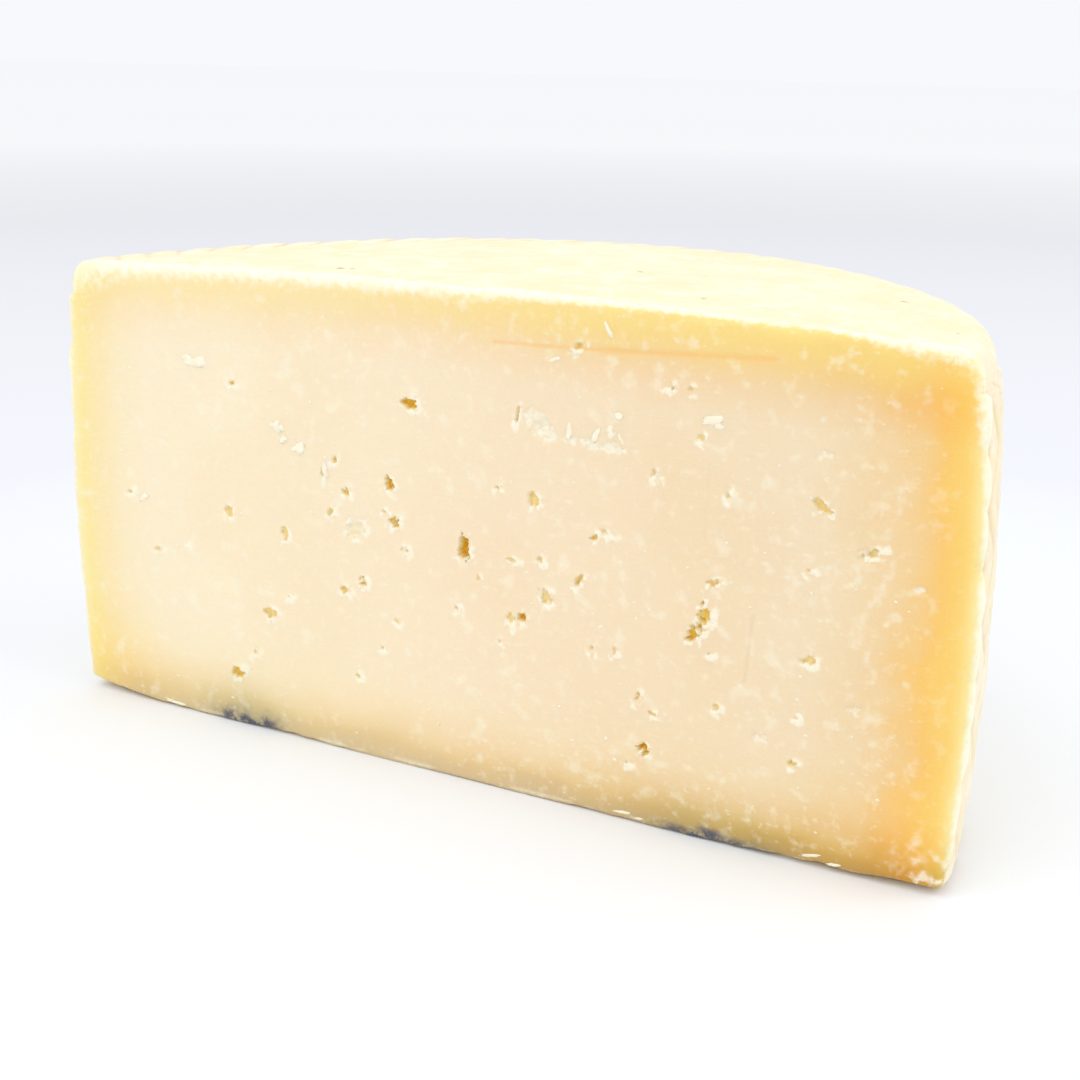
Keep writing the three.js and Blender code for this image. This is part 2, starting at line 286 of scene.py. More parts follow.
def rind_rows():
    """The rind's rows, from the edge of the base, up the side and in over the top.

    Each has its radius, height, direction out of the rind, length of rind above the shoulder's
    foot, and how deep the print is there.
    """
    rows = []
    for angle in np.linspace(0, math.pi / 2, HEEL_ROWS, endpoint=False):
        radius = BASE_FLAT + HEEL_WIDTH * math.sin(angle)
        height = HEEL_HEIGHT * (1 - math.cos(angle))
        out = Vector((math.sin(angle) / HEEL_WIDTH, -math.cos(angle) / HEEL_HEIGHT))
        out.normalize()
        rows.append((radius, height, *out, height - SHOULDER_FOOT, math.sin(angle) ** 2))
    side_rows = round((SHOULDER_FOOT - HEEL_HEIGHT) / SIDE_SPACING)
    for height in np.linspace(HEEL_HEIGHT, SHOULDER_FOOT, side_rows, endpoint=False):
        rows.append((side_radius(height), height, 1, 0, height - SHOULDER_FOOT, 1))
    for share in np.linspace(0, 1, SHOULDER_ROWS, endpoint=False):
        angle = share * math.pi / 2
        radius = TOP_FLAT + SHOULDER_WIDTH * math.cos(angle)
        height = SHOULDER_FOOT + SHOULDER_HEIGHT * math.sin(angle)
        out = Vector((math.cos(angle) / SHOULDER_WIDTH, math.sin(angle) / SHOULDER_HEIGHT))
        out.normalize()
        print_depth = 1 - share * (1 - PLAIT_ON_SHOULDER)
        rows.append((radius, height, *out, share * SHOULDER_LENGTH, print_depth))
    top_rows = round(PLAIT_ON_TOP / RIM_SPACING)
    for share in np.linspace(0, 1, top_rows):
        radius = TOP_FLAT - share * PLAIT_ON_TOP
        run = SHOULDER_LENGTH + share * PLAIT_ON_TOP
        rows.append((radius, top_height(radius), 0, 1, run, PLAIT_ON_SHOULDER * (1 - share)))
    return np.array(rows, float)


def strand_groove(angle, run):
    """The plait's print: 0 on the ridge of a strand and 1 in the groove beside it."""
    bands_down = -run / BAND_HEIGHT
    zigzag = 1 - np.abs(1 - bands_down % 2)
    turn = PLAIT_SLOPE / BELLY_RADIUS * np.where(run < 0, BAND_HEIGHT * zigzag, run)
    strand = (angle - PLAIT_START - turn) * PLAIT_STRANDS / (2 * math.pi)
    from_ridge = STRAND_ROUNDNESS * 2 * np.abs(strand - np.round(strand))
    deepest = 1 - math.sqrt(1 - STRAND_ROUNDNESS**2)
    groove = (1 - np.sqrt(1 - from_ridge**2)) / deepest
    from_turn = BAND_HEIGHT * (bands_down - np.round(bands_down))
    seam = BAND_SEAM_DEPTH * hill(from_turn, 0, BAND_SEAM_WIDTH) * (run < 0)
    return np.maximum(groove, seam)


def uneven_wheel(radius, height, angle):
    """Points of the wheel at these radii, heights and angles, as much out of round as it is."""
    share = radius / BELLY_RADIUS
    unevenness = sum(reach * np.sin(waves * angle) for waves, reach in OUT_OF_ROUND)
    hollow = TOP_HOLLOW * np.sin(TOP_HOLLOW_WAVES * angle) * share * height / WHEEL_HEIGHT
    real_radius = radius + unevenness * share
    return np.stack(
        [real_radius * np.cos(angle), real_radius * np.sin(angle), height - hollow], axis=-1
    )


def rind_grid():
    """The rind's points by row and column, and how deep each is in a groove of the print."""
    rows = rind_rows()
    angles = np.linspace(0, math.pi, COLUMNS)
    radius, height, out_radial, out_up, run, print_depth = (
        np.repeat(value[:, None], COLUMNS, axis=1) for value in rows.T
    )
    angle = np.repeat(angles[None, :], len(rows), axis=0)
    points = uneven_wheel(radius, height, angle)
    flat = points.reshape(-1, 3)
    wear = 1 - PLAIT_WEAR * smooth_step(lattice_noise(flat, 22, 4), -0.3, 0.7)
    wear = wear * (1 + 0.25 * lattice_noise(flat, 6, 5))
    wear = wear * (1 - CUT_WEAR * np.exp(-flat[:, 1] / CUT_WEAR_REACH))
    worn_top = smooth_step(flat[:, 0], -TOP_WEAR_X, TOP_WEAR_X) * smooth_step(run.ravel(), -5, 5)
    wear = wear * (1 - TOP_WEAR * worn_top)
    groove = strand_groove(angle, run) * print_depth * wear.reshape(angle.shape)
    roughness = lumps(flat, RIND_LUMPS).reshape(angle.shape) * smooth_step(height, 0, HEEL_HEIGHT)
    sunk = PLAIT_DEPTH * groove - roughness
    points[..., 0] -= sunk * out_radial * np.cos(angle)
    points[..., 1] -= sunk * out_radial * np.sin(angle)
    points[..., 2] -= sunk * out_up
    points[..., 1] = np.maximum(points[..., 1], 0)
    return points, groove


def top_points(places):
    """Points of the top inside the print, above these places."""
    radius = np.hypot(*places.T)
    points = uneven_wheel(radius, top_height(radius), np.arctan2(places[:, 1], places[:, 0]))
    points[:, :2] = places
    points[:, 2] += lumps(points, RIND_LUMPS)
    return points


def edge_round(points):
    """How far the cut's edge is rounded at each point near it; its foot is the sharpest."""
    foot = 1 - FOOT_SHARPNESS * smooth_step(points[:, 2], FOOT_SHARP_HEIGHT, 0)
    return EDGE_ROUND * foot * (1 + EDGE_UNEVENNESS * lattice_noise(points, 7, 6))


def wear_cut_edge(points):
    """Rounds the rind towards the cut, and wears its foot and crown unevenly."""
    x, y, z = points.T
    along = points * (1, 0, 1)
    near = np.exp(-y / EDGE_REACH)
    raised = np.interp(x, *zip(*FOOT_WEAR)) + FOOT_LIFT + lumps(along, FOOT_LUMPS)
    lowered = lumps(along, CROWN_LUMPS)
    foot = np.exp(-z / HEEL_HEIGHT)
    crown = np.exp((z - WHEEL_HEIGHT) / HEEL_HEIGHT)
    moved_y = y + edge_round(along) * near
    moved_z = z + np.maximum(raised, 0) * near * foot + lowered * near * crown
    return np.stack([x, moved_y, moved_z], axis=-1)


# The cut.


def inside_rim(x, z, hollow, seed):
    """How far inside a hollow's ragged rim each place is; less than 0 outside it."""
    middle_x, middle_z, width, height, _, lean = hollow
    cosine, sine = math.cos(math.radians(lean)), math.sin(math.radians(lean))
    across = (x - middle_x) * cosine + (z - middle_z) * sine
    along = (z - middle_z) * cosine - (x - middle_x) * sine
    half = math.sqrt(width * height) / 2
    slim = min(width, height) / 2
    places = np.stack([x, z], axis=-1)
    ragged = lattice_noise(places, 1, seed) + 0.8 * lattice_noise(places, 0.5, seed)
    reach = np.hypot(2 * across / width, 2 * along / height)
    return half * (1 - reach) + min(HOLLOW_RAGGED, RAGGED_SHARE * slim) * ragged


def near_hollow(x, z, hollow, margin):
    middle_x, middle_z, width, height = hollow[:4]
    return np.hypot(x - middle_x, z - middle_z) < max(width, height) / 2 + margin


def mark_distance(x, z, mark):
    """Each place's distance from a mark, as a share of its half width."""
    from_x, from_z, to_x, to_z, width = mark[:5]
    along = np.array((to_x - from_x, to_z - from_z))
    share = ((x - from_x) * along[0] + (z - from_z) * along[1]) / (along @ along)
    share = np.clip(share, 0, 1)
    return np.hypot(x - from_x - share * along[0], z - from_z - share * along[1]) / (width / 2)


def eye_relief(places, number, eye):
    """How deep, hollow and torn one eye makes the places near it."""
    inside = inside_rim(*places.T, eye, EYE_SEED + number)
    pit = smooth_step(inside, 0, min(EYE_WALL, eye[2] / 3, eye[3] / 3))
    way = places - eye[:2]
    way /= np.linalg.norm(way, axis=1, keepdims=True) + 1e-6
    ragged = smooth_step(lattice_noise(places, 0.8, 20), -0.5, 0.3)
    lip = hill(inside, -0.5 * LIP_WIDTH, LIP_WIDTH) * ragged * (1 - pit)
    lip *= smooth_step(way @ np.array(LIP_WAY), -1.3, 0.4)
    depth = eye[4] * pit * (1 + lumps(places, EYE_FLOOR_LUMPS)) - LIP_HEIGHT * lip
    return depth, pit * np.clip(eye[4] / DEEP_EYE, 0, 1), lip


def tear_relief(places, number, tear):
    """How deep and torn one shallow tear makes the places near it."""
    patch = smooth_step(inside_rim(*places.T, tear, TEAR_SEED + number), 0, 0.6)
    rough = lumps(places, TEAR_LUMPS)
    return patch * (tear[4] + TEAR_ROUGHNESS * rough), TORN_SHARE * patch * (1.2 + rough)


def foot_relief(places):
    """How deep and torn the crumbly corner and the pale smear make the cut's foot."""
    x, z = places.T
    smeared = smooth_step(lattice_noise(places / (3, 1), 1, 23), -0.3, 0.4)
    smear = TORN_SHARE * smeared * hill(z, *FOOT_SMEAR)
    corner = hill(x, *CRUMBLY_X) * hill(z, *CRUMBLY_Z)
    rough = lumps(places, CORNER_LUMPS)
    return CORNER_ROUGHNESS * corner * rough, np.maximum(smear, corner * (0.3 - 0.5 * rough))


def cut_relief(x, z):
    """How far the cut lies behind its plane, and how hollow, torn and creased it is."""
    places = np.stack([x, z], axis=-1)
    depth = lumps(places, CUT_LUMPS) + lumps(places / (KNIFE_LINE_LENGTH, 1), KNIFE_LINES)
    hollow, torn, crease = np.zeros((3, len(x)))
    for number, eye in enumerate(EYES):
        near = near_hollow(x, z, eye, NEAR_EYE)
        deeper, pit, lip = eye_relief(places[near], number, eye)
        depth[near] += deeper
        hollow[near] = np.maximum(hollow[near], pit)
        torn[near] = np.maximum(torn[near], lip)
    for number, tear in enumerate(TEARS):
        near = near_hollow(x, z, tear, NEAR_TEAR)
        deeper, patch = tear_relief(places[near], number, tear)
        depth[near] += deeper
        torn[near] = np.maximum(torn[near], patch)
    for number, mark in enumerate(MARKS):
        line = hill(mark_distance(x, z, mark), 0, MARK_REACH)
        depth += mark[5] * line
        if number >= len(MARKS) - CREASE_MARKS:
            crease = np.maximum(crease, line)
    deeper, pale = foot_relief(places)
    return {
        "depth": depth + deeper,
        "hollow": hollow,
        "torn": np.maximum(torn, pale),
        "crease": crease,
    }


def in_from_rind(x, z):
    """How far each place of the cut is in from its pale rim, which is at 1."""
    from_right = np.interp(z, *zip(*PALE_FROM_RIGHT))
    widths = (np.interp(x, *zip(*PALE_FROM_TOP)), PALE_FROM_LEFT, from_right)
    distances = (top_height(np.abs(x)) - z, side_radius(z) + x, side_radius(z) - x)
    shares = [np.maximum(far, 0.1) / width for far, width in zip(distances, widths)]
    return sum(share**-2 for share in shares) ** -0.5


def mould_on(x, z):
    """How mouldy the foot of the cut is, and how far the mould has tinted the paste round it."""
    wander = 1 + 0.35 * lattice_noise(np.stack([x, z], axis=-1), 2.2, 18)
    mould, halo = np.zeros((2, len(x)))
    for middle, length, height, strength in MOULDS:
        along = np.exp(-((np.abs(x - middle) / length) ** 4))
        spot = along * np.exp(-((z / height / wander) ** 4))
        mould = np.maximum(mould, strength * spot)
        around = hill(x, middle, 1.5 * length) * np.exp(-((z / (3 * height)) ** 2))
        halo = np.maximum(halo, strength * around)
    return mould, halo


# Meshes.


def hex_places(low, high, spacing):
    """Places on a lattice of triangles, and which of them are also on the coarser lattice."""
    rows = int((high[1] - low[1]) / (spacing * ROW_SHARE)) + 1
    columns = int((high[0] - low[0]) / spacing) + 1
    column, row = np.meshgrid(np.arange(columns), np.arange(rows))
    along = column - row // 2
    x = low[0] + spacing * (along + row / 2)
    y = low[1] + spacing * ROW_SHARE * row
    coarse = (along % COARSENESS == 0) & (row % COARSENESS == 0)
    return np.stack([x.ravel(), y.ravel()], axis=-1), coarse.ravel()


def jittered(places, spacing):
    """Moves places a little, so that their triangles make no pattern."""
    rng = np.random.default_rng(SEED)
    return places + rng.uniform(-JITTER, JITTER, places.shape) * spacing


def distance_to(places, border):
    """Each place's distance from the nearest point of a border."""
    tree = kdtree.KDTree(len(border))
    for number, (x, y) in enumerate(border):
        tree.insert((x, y, 0), number)
    tree.balance()
    return np.array([tree.find((x, y, 0))[2] for x, y in places])


def inner_rings(border):
    """Places just inside a border that runs anticlockwise, and how far inside each is."""
    places, distances = [], []
    for number, distance in enumerate(BORDER_RINGS):
        start = border if number % 2 else (border + np.roll(border, -1, axis=0)) / 2
        tangent = np.roll(start, -1, axis=0) - np.roll(start, 1, axis=0)
        tangent /= np.linalg.norm(tangent, axis=1, keepdims=True)
        places.append(start + distance * np.stack([-tangent[:, 1], tangent[:, 0]], axis=-1))
        distances.append(np.full(len(start), distance))
    return np.concatenate(places), np.concatenate(distances)


def triangles_inside(border, inner):
    """Triangles over the border's places and the inner ones, numbered with the border's first."""
    places = [Vector(place) for place in np.concatenate([border, inner])]
    made = delaunay_2d_cdt(places, [], [range(len(border))], 0, 1e-6, True)
    number_of = [min(numbers) for numbers in made[3]]
    inside = (face for face, within in zip(made[2], made[5]) if within)
    return np.array([[number_of[corner] for corner in face] for face in inside])


class Skin:
    """Points, values at the points, and faces, gathered patch by patch into one closed mesh."""

    def __init__(self):
        self.points = np.zeros((0, 3))
        self.values = {name: np.zeros(0) for name in ("groove", "hollow", "torn", "crease")}
        self.faces = []
        self.materials = []

    def add_points(self, points, **values):
        """Adds points and returns their numbers."""
        first = len(self.points)
        self.points = np.concatenate([self.points, points])
        for name, known in self.values.items():
            added = values.get(name, np.zeros(len(points)))
            self.values[name] = np.concatenate([known, added])
        return np.arange(first, len(self.points))

    def add_faces(self, faces, material):
        self.faces.extend(faces.tolist())
        self.materials.extend([material] * len(faces))

    def drop_unused(self):
        """Drops the points that no face uses."""
        used = np.unique(list(itertools.chain.from_iterable(self.faces)))
        number_of = np.zeros(len(self.points), int)
        number_of[used] = np.arange(len(used))
        self.points = self.points[used]
        self.values = {name: numbers[used] for name, numbers in self.values.items()}
        self.faces = [number_of[face].tolist() for face in self.faces]

    def fill(self, border, inner, plane, material, reverse=False):
        """Closes a border of numbered points with triangles over it and the inner numbered ones."""
        numbers = np.concatenate([border, inner])
        places = self.points[numbers][:, plane]
        triangles = numbers[triangles_inside(places[: len(border)], places[len(border) :])]
        self.add_faces(triangles[:, ::-1] if reverse else triangles, material)


PASTE, RIND = 0, 1
TOP_PLANE, CUT_PLANE = (0, 1), (0, 2)


def add_rind(skin):
    """Adds the heel, side, shoulder and rim, and returns the numbers of their points."""
    points, groove = rind_grid()
    rows, columns = groove.shape
    numbers = skin.add_points(wear_cut_edge(points.reshape(-1, 3)), groove=groove.ravel())
    numbers = numbers.reshape(rows, columns)
    corners = (numbers[:-1, :-1], numbers[:-1, 1:], numbers[1:, 1:], numbers[1:, :-1])
    skin.add_faces(np.stack([corner.ravel() for corner in corners], axis=-1), RIND)
    return numbers


def add_cut_line(skin, radius, to_points):
    """Adds the straight edge of the top or base, from -x to +x inside radius."""
    count = round(2 * radius / CUT_LINE_SPACING)
    x = np.linspace(-radius, radius, count + 1)[1:-1]
    return skin.add_points(wear_cut_edge(to_points(np.stack([x, 0 * x], axis=-1))))


def add_half_disc(skin, arc, line, radius, spacing, to_points, reverse=False):
    """Fills the top or base between the rind's arc, from +x to -x, and the cut's line."""
    places, _ = hex_places((-radius, 0), (2 * radius, radius), spacing)
    within = np.hypot(*places.T) < radius - ARC_MARGIN * spacing
    places = jittered(places[within & (places[:, 1] > LINE_MARGIN * spacing)], spacing)
    inner = skin.add_points(wear_cut_edge(to_points(places)))
    skin.fill(np.concatenate([arc, line]), inner, TOP_PLANE, RIND, reverse)


def base_points(places):
    """Points of the base, which is slightly hollow, at these places."""
    inner = smooth_step(BASE_FLAT - np.hypot(*places.T), 0, BASE_HOLLOW_RIM)
    lifted = BASE_HOLLOW * (1 + lattice_noise(places, 14, 19)) * inner
    return np.column_stack([places, lifted])


def cut_places(border):
    """Places over the cut, closer together at its hollows and marks, and their border distances."""
    low, high = border.min(axis=0), border.max(axis=0)
    places, coarse = hex_places((2 * low[0], low[1]), high, FINE_SPACING)
    x, z = places.T
    inside = (np.abs(x) < side_radius(z) - CUT_MARGIN_X) & (z > low[1] + CUT_MARGIN_Z)
    inside &= z < high[1] - CUT_MARGIN_Z
    places, coarse = places[inside], coarse[inside]
    x, z = places.T
    detailed = np.zeros(len(places), bool)
    for hollow in EYES:
        detailed |= near_hollow(x, z, hollow, FINE_MARGIN)
    for tear in TEARS:
        detailed |= near_hollow(x, z, tear, 0) & (np.arange(len(places)) % 2 == 0)
    for mark in MARKS:
        detailed |= mark_distance(x, z, mark) < NEAR_MARK
    chosen = coarse | detailed
    spacing = np.where(detailed[chosen], 1, COARSENESS)[:, None] * FINE_SPACING
    places = jittered(places[chosen], spacing)
    distance = distance_to(places, border)
    clear = distance > BORDER_RINGS[-1] + FINE_SPACING
    rings, ring_distance = inner_rings(border)
    apart = distance_to(rings, border) > RING_MARGIN * ring_distance
    places = np.concatenate([rings[apart], places[clear]])
    return places, np.concatenate([ring_distance[apart], distance[clear]])


def add_cut(skin, border):
    """Fills the cut inside its border of numbered points."""
    outline = skin.points[border][:, CUT_PLANE]
    places, distance = cut_places(outline)
    x, z = places.T
    relief = cut_relief(x, z)
    rounding = edge_round(np.column_stack([x, 0 * x, z]))
    share = 1 - np.minimum(distance / rounding, 1)
    y = rounding * (1 - np.sqrt(1 - share**2)) + relief.pop("depth") * smooth_step(distance, 0, 1)
    inner = skin.add_points(np.column_stack([x, y, z]), **relief)
    skin.fill(border, inner, CUT_PLANE, PASTE)


def cheese_skin():
    """The whole surface of the half wheel."""
    skin = Skin()
    grid = add_rind(skin)
    top_radius = TOP_FLAT - PLAIT_ON_TOP
    top_line = add_cut_line(skin, top_radius, top_points)
    base_line = add_cut_line(skin, BASE_FLAT, base_points)
    add_half_disc(skin, grid[-1], top_line, top_radius, TOP_SPACING, top_points)
    add_half_disc(skin, grid[0], base_line, BASE_FLAT, BASE_SPACING, base_points, reverse=True)
    right_side, left_side = grid[:, 0], grid[::-1, -1]
    add_cut(skin, np.concatenate([base_line, right_side, top_line[::-1], left_side]))
    skin.drop_unused()
    return skin


def add_place_values(skin):
    """Adds what depends on place alone: the distance from the rind on each side, and mould."""
    x, y, z = skin.points.T
    behind = np.exp(-np.maximum(y, 0) / EDGE_REACH)
    mould, halo = mould_on(x, z)
    rim_height = top_height(TOP_FLAT)
    skin.values.update(
        from_left=side_radius(z) + x,
        from_right=side_radius(z) - x,
        from_top=top_height(np.abs(x)) - z,
        from_base=z,
        in_from_rind=in_from_rind(x, z),
        mould=mould * behind,
        halo=halo * behind,
        on_top=smooth_step(z, rim_height - SHOULDER_HEIGHT / 2, rim_height),
    )


def new_object(name, data):
    made = bpy.data.objects.new(name, data)
    bpy.context.scene.collection.objects.link(made)
    return made


def mesh_object(name, points, faces, values, materials, material_numbers=None):
    """A smooth mesh object from points in millimetres, with its values as attributes."""
    mesh = bpy.data.meshes.new(name)
    placed = (points + (0, LOW.y / MM, 0)) * MM
    mesh.from_pydata(placed.tolist(), [], faces)
    for key, numbers in values.items():
        attribute = mesh.attributes.new(key, "FLOAT", "POINT")
        attribute.data.foreach_set("value", np.asarray(numbers, np.float32))
    for material in materials:
        mesh.materials.append(material)
    if material_numbers is not None:
        mesh.polygons.foreach_set("material_index", np.asarray(material_numbers, np.int32))
    mesh.shade_smooth()
    mesh.validate()
    return new_object(name, mesh)


# Flakes of paste on the cut.


def unit_ball(subdivisions):
    """The points and faces of a ball of triangles, of radius 1."""
    ball = bmesh.new()
    bmesh.ops.create_icosphere(ball, subdivisions=subdivisions, radius=1)
    points = np.array([vertex.co for vertex in ball.verts])
    faces = np.array([[vertex.index for vertex in face.verts] for face in ball.faces])
    ball.free()
    return points, faces


def flake(ball, x, z, width, height, lean, depth, seed):
    """Points of one lumpy flake, half sunk in the cut, which is so deep there."""
    thickness = FLAKE_THICKNESS * min(width, height)
    lumpy = 1 + lumps(ball, ((0.5, 0.7, seed), (0.3, 0.35, seed + 1)))
    shaped = ball * lumpy[:, None] * (width / 2, thickness / 2, height / 2)
    turned = shaped @ np.array(Matrix.Rotation(-math.radians(lean), 3, "Y")).T
    return turned + (x, depth + FLAKE_SUNK * thickness, z)


def random_flakes():
    """Places and sizes of the small flakes, most of them towards the lower right."""
    rng = np.random.default_rng(SEED)
    flakes = []
    for _ in range(RANDOM_FLAKES):
        x = RANDOM_X * (1 - 2 * rng.random() ** RANDOM_CROWDING[0])
        z = RANDOM_Z[0] + RANDOM_Z[1] * rng.random() ** RANDOM_CROWDING[1]
        width = rng.uniform(*RANDOM_WIDTHS) ** 1.5
        height = width * rng.uniform(*RANDOM_SHAPES)
        flakes.append((x, z, width, height, rng.uniform(-RANDOM_LEAN, RANDOM_LEAN)))
    return flakes


def flakes_mesh(material):
    """All the flakes as one piece."""
    fine, coarse = unit_ball(3), unit_ball(2)
    shapes = list(FLAKES) + random_flakes()
    x, z = np.array(shapes, float).T[:2]
    depths = cut_relief(x, z)["depth"]
    points, faces = [], []
    first = 0
    for number, (shape, depth) in enumerate(zip(shapes, depths)):
        ball, ball_faces = fine if number < len(FLAKES) else coarse
        points.append(flake(ball, *shape, depth, FLAKE_SEED + 2 * number))
        faces.extend((ball_faces + first).tolist())
        first += len(ball)
    return mesh_object("crumbs", np.concatenate(points), faces, {}, [material])


# Materials.


def colour(red, green, blue):
    """A photographed colour as a linear one, darkened to what a surface can reflect."""
    linear = [((v / 255 + 0.055) / 1.055) ** 2.4 for v in (red, green, blue)]
    return tuple(ALBEDO_OF_WHITE * v for v in linear) + (1,)


def tint(seen, plain):
    """The factor that turns one photographed colour into another, at most 1."""
    return tuple(min(a / b, 1) for a, b in zip(colour(*seen)[:3], colour(*plain)[:3])) + (1,)


class Shader:
    """Adds and links the nodes of one material."""

    def __init__(self, name):
        self.material = bpy.data.materials.new(name)
        self.material.use_nodes = True
        self.tree = self.material.node_tree
        self.surface = self.tree.nodes["Principled BSDF"]
        place = self.add("ShaderNodeTexCoord", {}).outputs["Object"]
        self.place = self.vector("MULTIPLY", place, (1 / MM,) * 3)

    def add(self, kind, inputs, **settings):
        """Adds a node, and links or sets its inputs, which are named or numbered."""
        node = self.tree.nodes.new(kind)
        for name, value in settings.items():
            setattr(node, name, value)
        for name, value in inputs.items():
            self.set(node.inputs[name], value)
        return node

    def set(self, socket, value):
        if isinstance(value, bpy.types.NodeSocket):
            self.tree.links.new(value, socket)
        else:
            socket.default_value = value

    def value(self, name):
        """The mesh's value of that name."""
        return self.add("ShaderNodeAttribute", {}, attribute_name=name).outputs["Fac"]

    def vector(self, operation, first, second, result="Vector"):
        inputs = {0: first, 1: second}
        return self.add("ShaderNodeVectorMath", inputs, operation=operation).outputs[result]

    def maths(self, operation, first, second, clamp=False):
        inputs = {0: first, 1: second}
        node = self.add("ShaderNodeMath", inputs, operation=operation, use_clamp=clamp)
        return node.outputs[0]

    def plus(self, first, second):
        return self.maths("ADD", first, second)

    def times(self, first, second):
        return self.maths("MULTIPLY", first, second)

    def scale(self, value, low, high, to_low=0, to_high=1):
        """Value moved from one range to another, smoothly and no further."""
        inputs = {0: value, 1: low, 2: high, 3: to_low, 4: to_high}
        return self.add("ShaderNodeMapRange", inputs, interpolation_type="SMOOTHSTEP").outputs[0]

    def mix(self, factor, first, second, blend="MIX"):
        inputs = {0: factor, 6: first, 7: second}
        node = self.add("ShaderNodeMix", inputs, data_type="RGBA", blend_type=blend)
        return node.outputs[2]

    def paint(self, base, share, seen):
        """The base, covered by that share of a photographed colour."""
        return self.mix(share, base, colour(*seen))

    def glaze(self, base, share, shade):
        """The base, multiplied by that share of a shade."""
        return self.mix(share, base, shade, "MULTIPLY")

    def noise(self, size, detail=2, roughness=0.5, place=None):
        """Noise with lumps about size millimetres across."""
        inputs = {"Scale": 1 / size, "Detail": detail, "Roughness": roughness}
        inputs["Vector"] = place or self.place
        return self.add("ShaderNodeTexNoise", inputs).outputs["Fac"]

    def stretched(self, x, y, z):
        """The place in millimetres, divided along each axis."""
        return self.vector("MULTIPLY", self.place, (1 / x, 1 / y, 1 / z))

    def ramp(self, value, stops):
        """A colour for each of a few values, the first of them 0, and blends between them."""
        reach = stops[-1][0]
        share = self.maths("DIVIDE", value, reach, clamp=True)
        node = self.add("ShaderNodeValToRGB", {"Fac": share})
        elements = node.color_ramp.elements
        while len(elements) < len(stops):
            elements.new(0.5)
        for element, (at, shade) in zip(elements, stops):
            element.position = at / reach
            element.color = shade
        return node.outputs["Color"]

    def bump(self, heights):
        """Bumps from heights and how many millimetres each stands for."""
        normal = None
        for height, size in heights:
            inputs = {"Height": height, "Strength": 1, "Distance": size * MM}
            if normal is not None:
                inputs["Normal"] = normal
            normal = self.add("ShaderNodeBump", inputs).outputs["Normal"]
        self.set(self.surface.inputs["Normal"], normal)

    def finish(self, base, roughness, **constants):
        """Sets the shader's colour, roughness and constant inputs, and returns the material."""
        self.set(self.surface.inputs["Base Color"], base)
        self.set(self.surface.inputs["Roughness"], roughness)
        for name, value in constants.items():
            self.surface.inputs[name.replace("_", " ")].default_value = value
        return self.material


CREAM = (254, 240, 207)
TOP_CREAM = (245, 226, 190)

# The paste's colour by its distance from the rind at the right, and tints towards the other sides;
# the one towards the base is partly golden paste and partly painted shade where the floor meets the
# cut.
PASTE_FROM_RIGHT = (
    (0, (255, 246, 196)), (1, (254, 239, 176)), (2, (254, 229, 148)), (3, (255, 221, 128)),
    (4, (254, 215, 116)), (6, (254, 210, 110)), (8, (253, 206, 113)), (10, (250, 208, 132)),
    (13, (247, 212, 150)), (16, (246, 217, 166)), (21, (245, 221, 178)), (30, (246, 226, 190)),
    (60, (248, 227, 191)), (100, (251, 232, 199)), (150, (254, 239, 206)),
)
TINT_FROM_LEFT = (
    (0, (254, 249, 222)), (1, (254, 249, 205)), (2, (254, 245, 183)), (3, (254, 241, 170)),
    (4, (254, 237, 163)), (5, (254, 236, 166)), (7, (254, 235, 176)), (10, (254, 235, 184)),
    (14, (254, 238, 197)), (22, CREAM),
)
TINT_FROM_TOP = (
    (0, (245, 232, 150)), (3, (245, 226, 134)), (5, (245, 218, 134)), (8, (245, 214, 148)),
    (12, (245, 218, 172)), (17, TOP_CREAM),
)
# Towards the base: partly the golden paste by the rind, partly painted shade where the floor meets
# the cut.
TINT_AND_PAINTED_SHADE_FROM_BASE = (
    (0, (190, 160, 95)), (2, (198, 166, 98)), (4, (211, 175, 93)), (6, (226, 193, 118)),
    (8, (237, 207, 147)), (11, (243, 217, 168)), (15, (245, 225, 184)), (21, TOP_CREAM),
)
EYE_BY_DEPTH = (
    (0, (252, 234, 194)), (0.35, (250, 225, 158)), (0.7, (250, 212, 96)), (1, (248, 200, 56)),
)
PALE_RIM, LEMON_RIM = (255, 254, 230), (255, 252, 214)
TOP_GLOW, CREASE_GOLD = (255, 223, 138), (250, 196, 110)
TORN_PASTE = (255, 248, 224)
PASTE_MOULD, RIND_MOULD = (92, 93, 104), (98, 96, 104)
RIND_CREAM, RIND_YELLOW, RIND_PATCH = (254, 243, 216), (252, 237, 198), (252, 237, 187)
# The rind's foot colour is painted warm contact shade at the floor.
RIND_GROOVE, RIND_FOOT_PAINTED_SHADE, CLOTH_LINE = (238, 203, 146), (232, 184, 108), (244, 218, 150)
RIND_BLOOM, RIND_SPECK = (255, 249, 231), (190, 132, 76)
CRUMB_WHITE, CRUMB_CREAM = (255, 249, 226), (254, 243, 212)

# Shades that the paste's colour is multiplied by.
# The left of the foot: partly golden paste by the rind, partly painted shade near the floor.
LEFT_FOOT_TINT_AND_PAINTED_SHADE = (1, 0.93, 0.74, 1)
BLUSH_SHADE = (0.99, 0.965, 0.93, 1)
GRAIN_SHADE = (0.985, 0.97, 0.95, 1)
HALO_SHADE = (0.72, 0.78, 0.72, 1)

SCATTER = (1, 0.6, 0.3)  # how far red, green and blue light spreads inside the cheese, as shares


def tints(stops, plain):
    return [(at, tint(seen, plain)) for at, seen in stops]


